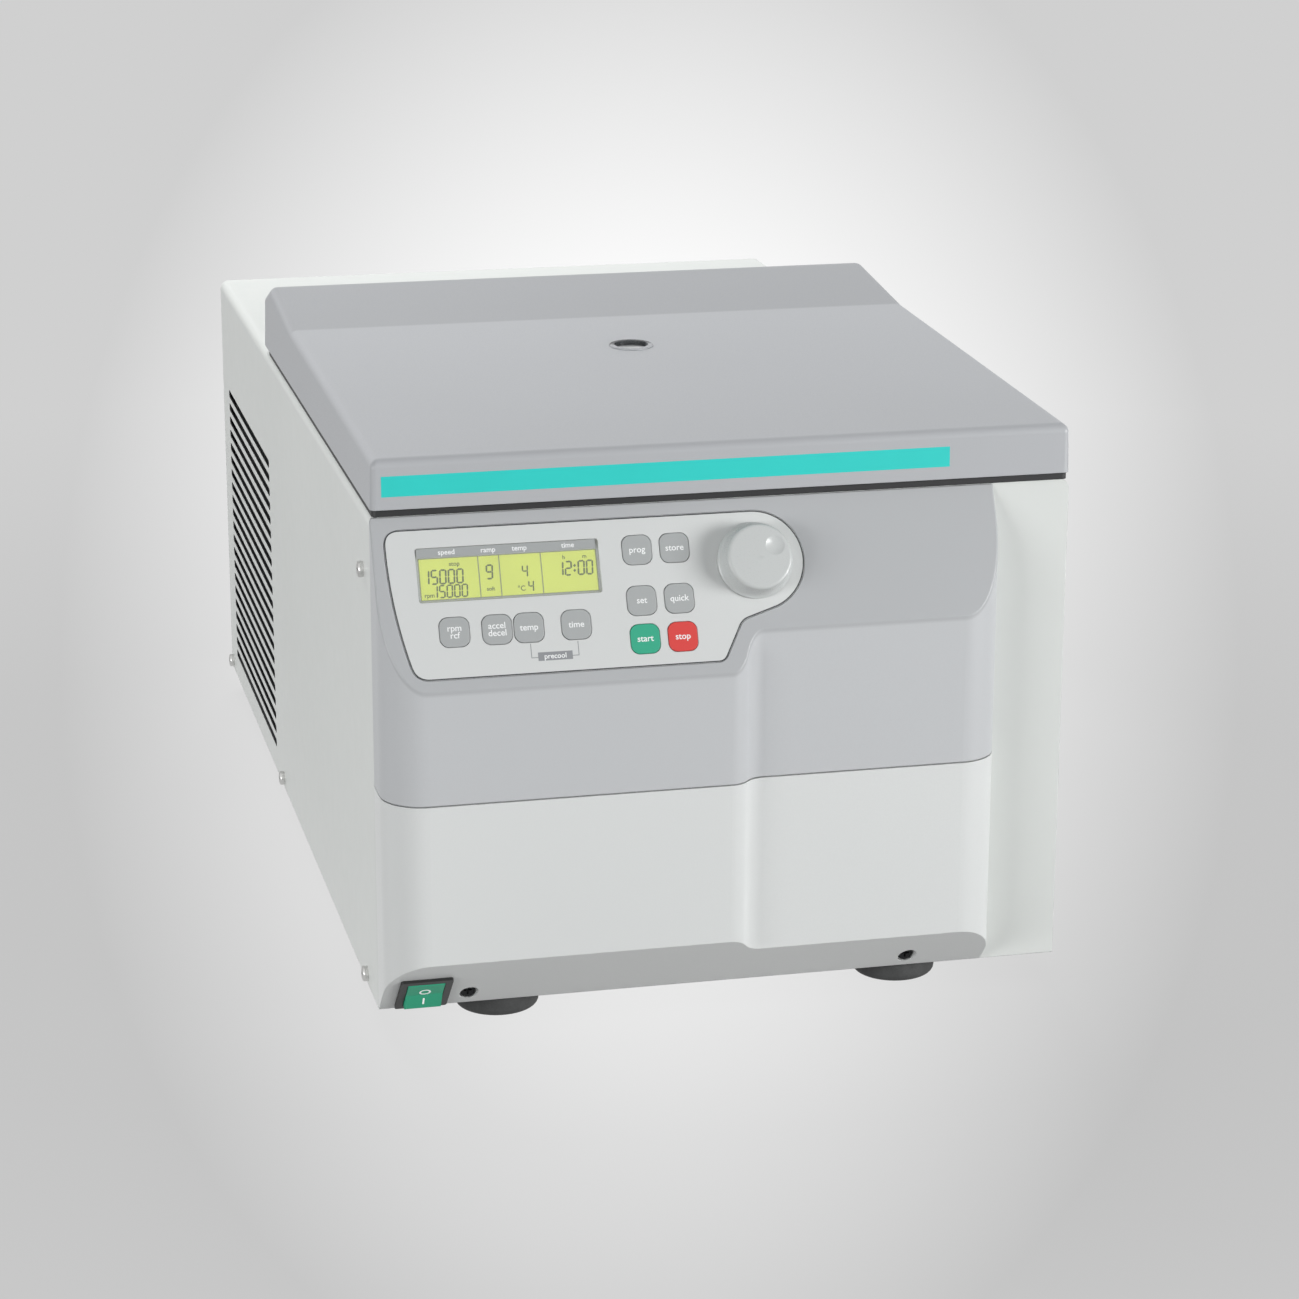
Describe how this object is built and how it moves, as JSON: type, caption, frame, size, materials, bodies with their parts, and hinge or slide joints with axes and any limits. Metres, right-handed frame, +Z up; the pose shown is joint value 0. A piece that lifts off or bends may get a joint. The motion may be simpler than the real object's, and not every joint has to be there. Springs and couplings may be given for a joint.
{
  "type": "refrigerated bench centrifuge",
  "caption": "Bench-top laboratory centrifuge with a stepped grey fascia, tilted keypad console, turn knob, hinged lid with a round port, angle rotor and side louvres.",
  "frame": {"origin": "centre of the bounding box, on the plane the feet stand on", "axes": "+X to the object's right seen from the front, +Y to the rear (the console faces -Y), +Z up"},
  "size_m": [0.4064, 0.7292, 0.3488],
  "materials": {
    "cabinet_paint": "fine-textured light grey powder coat",
    "pan_steel": "dark grey powder coat",
    "foot_rubber": "black moulded rubber",
    "zinc_steel": "bright zinc plate",
    "screw_steel": "bright steel",
    "inlet_plastic": "black moulded plastic",
    "surround_plastic": "black textured plastic",
    "bowl_steel": "turned stainless steel",
    "gasket_rubber": "black soft rubber",
    "coil_copper": "bare copper tube",
    "foam": "closed-cell foam",
    "guard_steel": "black steel",
    "mount_rubber": "black rubber",
    "motor_aluminium": "cast, machined",
    "seal_rubber": "black soft rubber",
    "shaft_steel": "ground steel",
    "rotor_aluminium": "hard-anodised grey",
    "nut_steel": "turned steel",
    "fascia_plastic": "light grey moulding",
    "fascia_white": "white-grey moulding",
    "membrane_film": "fine matt film",
    "window_clear": "clear acrylic",
    "display_green": "yellow-green display",
    "board_laminate": "green circuit laminate",
    "encoder_metal": "bright steel",
    "knob_plastic": "light grey moulding",
    "key_grey": "mid grey moulding",
    "key_green": "green moulding",
    "key_red": "red moulding",
    "switch_black": "black moulding",
    "rocker_green": "green translucent rocker",
    "compressor_black": "black enamel",
    "condenser_aluminium": "thin aluminium fins",
    "shroud_steel": "grey powder coat",
    "fan_plastic": "black moulding",
    "fan_motor_metal": "dark enamel",
    "lid_plastic": "light grey moulding",
    "liner_plastic": "white-grey moulding",
    "stiffener_steel": "zinc-plated plate",
    "bezel_plastic": "grey ring",
    "port_glass": "clear round window",
    "striker_steel": "bright zinc plate",
    "hinge_steel": "satin steel",
    "lock_steel": "bright zinc plate",
    "solenoid_black": "black potted coil"
  },
  "bodies": {
    "cabinet": {"base_pan": "pan_steel", "chamber_bowl": "bowl_steel", "chamber_gasket": "gasket_rubber", "chamber_surround": "surround_plastic", "compressor": "compressor_black", "condenser": "condenser_aluminium", "control_board": "board_laminate", "control_membrane": "membrane_film", "cooling_coil": "coil_copper", "corner_posts": "zinc_steel", "display_module": "display_green", "display_window": "window_clear", "drive_motor": "motor_aluminium", "encoder_body": "encoder_metal", "fan_motor": "fan_motor_metal", "fan_shroud": "shroud_steel", "feet": "foot_rubber", "foam_jacket": "foam", "foot_studs": "zinc_steel", "guard_ring": "guard_steel", "hinge_bases": "hinge_steel", "hinge_pins": "hinge_steel", "housing_cover": "cabinet_paint", "lock_rail": "lock_steel", "lock_solenoid": "solenoid_black", "lower_fascia": "fascia_white", "motor_plate": "motor_aluminium", "motor_seal": "seal_rubber", "panel_screws": "screw_steel", "power_inlet": "inlet_plastic", "rear_panel": "cabinet_paint", "refrigerant_pipes": "coil_copper", "rubber_mounts": "mount_rubber", "switch_frame": "switch_black", "upper_fascia": "fascia_plastic"},
    "lid": {"lid_shell": "lid_plastic", "lid_liner": "liner_plastic", "lid_stiffener": "stiffener_steel", "port_bezel": "bezel_plastic", "port_window": "port_glass", "lid_strikers": "striker_steel", "hinge_leaves": "hinge_steel"},
    "rotor_set": {"drive_shaft": "shaft_steel", "rotor": "rotor_aluminium", "rotor_nut": "nut_steel"},
    "knob": {"encoder_shaft": "encoder_metal", "control_knob": "knob_plastic"},
    "rocker": {"switch_rocker": "rocker_green"},
    "fan": {"condenser_fan": "fan_plastic"},
    "lock_bar": {"lock_slider": "lock_steel"},
    "key_lid": {"key_lid": "key_grey"},
    "key_ramp": {"key_ramp": "key_grey"},
    "key_temperature": {"key_temperature": "key_grey"},
    "key_time": {"key_time": "key_grey"},
    "key_program": {"key_program": "key_grey"},
    "key_save": {"key_save": "key_grey"},
    "key_select": {"key_select": "key_grey"},
    "key_short_run": {"key_short_run": "key_grey"},
    "key_start": {"key_start": "key_green"},
    "key_stop": {"key_stop": "key_red"}
  },
  "joints": [
    {"name": "lid_hinge", "type": "hinge", "parent": "cabinet", "child": "lid", "pos_m": [0, 0.1414, 0.311], "axis": [-1, 0, 0], "range_deg": [0, 80]},
    {"name": "rotor_spin", "type": "hinge", "parent": "cabinet", "child": "rotor_set", "pos_m": [0, -0.0826, 0.1622], "axis": [0, 0, 1], "continuous": true},
    {"name": "knob_turn", "type": "hinge", "parent": "cabinet", "child": "knob", "pos_m": [0.0123, -0.3381, 0.26901], "axis": [0, -0.9026, 0.4305], "continuous": true},
    {"name": "rocker_swing", "type": "hinge", "parent": "cabinet", "child": "rocker", "pos_m": [-0.1768, -0.33533, 0.0326], "axis": [1, 0, 0], "range_deg": [0, 14]},
    {"name": "fan_spin", "type": "hinge", "parent": "cabinet", "child": "fan", "pos_m": [-0.153, 0.2184, 0.133], "axis": [1, 0, 0], "continuous": true},
    {"name": "lock_slide", "type": "slide", "parent": "cabinet", "child": "lock_bar", "axis": [0, -1, 0], "range_m": [0, 0.008], "stiffness_N_per_m": 300, "springref_m": -0.001},
    {"name": "key_lid_press", "type": "slide", "parent": "cabinet", "child": "key_lid", "axis": [0, 0.9026, -0.4305], "range_m": [0, 0.0008], "stiffness_N_per_m": 600, "springref_m": -0.0003},
    {"name": "key_ramp_press", "type": "slide", "parent": "cabinet", "child": "key_ramp", "axis": [0, 0.9026, -0.4305], "range_m": [0, 0.0008], "stiffness_N_per_m": 600, "springref_m": -0.0003},
    {"name": "key_temperature_press", "type": "slide", "parent": "cabinet", "child": "key_temperature", "axis": [0, 0.9026, -0.4305], "range_m": [0, 0.0008], "stiffness_N_per_m": 600, "springref_m": -0.0003},
    {"name": "key_time_press", "type": "slide", "parent": "cabinet", "child": "key_time", "axis": [0, 0.9026, -0.4305], "range_m": [0, 0.0008], "stiffness_N_per_m": 600, "springref_m": -0.0003},
    {"name": "key_program_press", "type": "slide", "parent": "cabinet", "child": "key_program", "axis": [0, 0.9026, -0.4305], "range_m": [0, 0.0008], "stiffness_N_per_m": 600, "springref_m": -0.0003},
    {"name": "key_save_press", "type": "slide", "parent": "cabinet", "child": "key_save", "axis": [0, 0.9026, -0.4305], "range_m": [0, 0.0008], "stiffness_N_per_m": 600, "springref_m": -0.0003},
    {"name": "key_select_press", "type": "slide", "parent": "cabinet", "child": "key_select", "axis": [0, 0.9026, -0.4305], "range_m": [0, 0.0008], "stiffness_N_per_m": 600, "springref_m": -0.0003},
    {"name": "key_short_run_press", "type": "slide", "parent": "cabinet", "child": "key_short_run", "axis": [0, 0.9026, -0.4305], "range_m": [0, 0.0008], "stiffness_N_per_m": 600, "springref_m": -0.0003},
    {"name": "key_start_press", "type": "slide", "parent": "cabinet", "child": "key_start", "axis": [0, 0.9026, -0.4305], "range_m": [0, 0.0008], "stiffness_N_per_m": 600, "springref_m": -0.0003},
    {"name": "key_stop_press", "type": "slide", "parent": "cabinet", "child": "key_stop", "axis": [0, 0.9026, -0.4305], "range_m": [0, 0.0008], "stiffness_N_per_m": 600, "springref_m": -0.0003}
  ]
}
